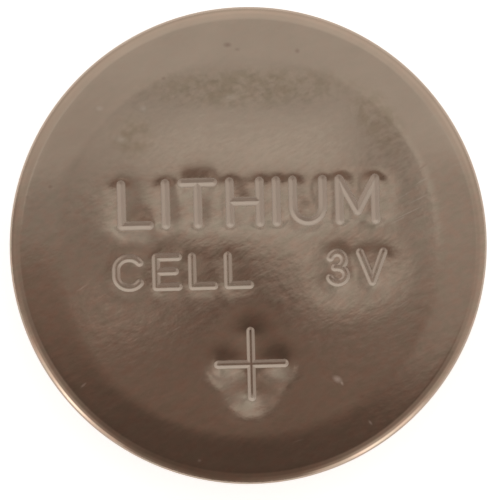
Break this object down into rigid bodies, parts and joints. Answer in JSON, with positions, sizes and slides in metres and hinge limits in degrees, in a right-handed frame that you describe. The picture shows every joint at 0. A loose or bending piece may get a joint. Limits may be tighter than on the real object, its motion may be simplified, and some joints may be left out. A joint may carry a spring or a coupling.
{
  "type": "lithium coin cell",
  "caption": "Flat round lithium coin cell: a steel can crimped over a stepped cap and a plastic gasket, with its electrodes inside.",
  "frame": {"origin": "centre of the negative cap's outer face, on which the cell rests", "axes": "+Z up through the cell to the positive face; +Y from the stamped plus towards the cell's axis; +X to the right, seen from above with +Y up"},
  "size_m": [0.02, 0.02, 0.0032],
  "materials": {
    "can_steel": "nickel-plated steel with a warm tone, finely brushed on the panel",
    "cap_steel": "nickel-plated steel, satin",
    "gasket_plastic": "dark polypropylene",
    "lithium_metal": "soft bright metal",
    "separator_film": "thin porous film",
    "separator_mat": "non-woven mat",
    "cathode_mix": "pressed black powder",
    "collector_steel": "plain stainless steel"
  },
  "bodies": {
    "root": {"positive_can": "can_steel", "negative_cap": "cap_steel", "sealing_gasket": "gasket_plastic", "lithium_anode": "lithium_metal", "separator_film": "separator_film", "absorbent_mat": "separator_mat", "cathode_pellet": "cathode_mix", "cathode_ring": "collector_steel", "collector_net": "collector_steel"}
  },
  "joints": []
}
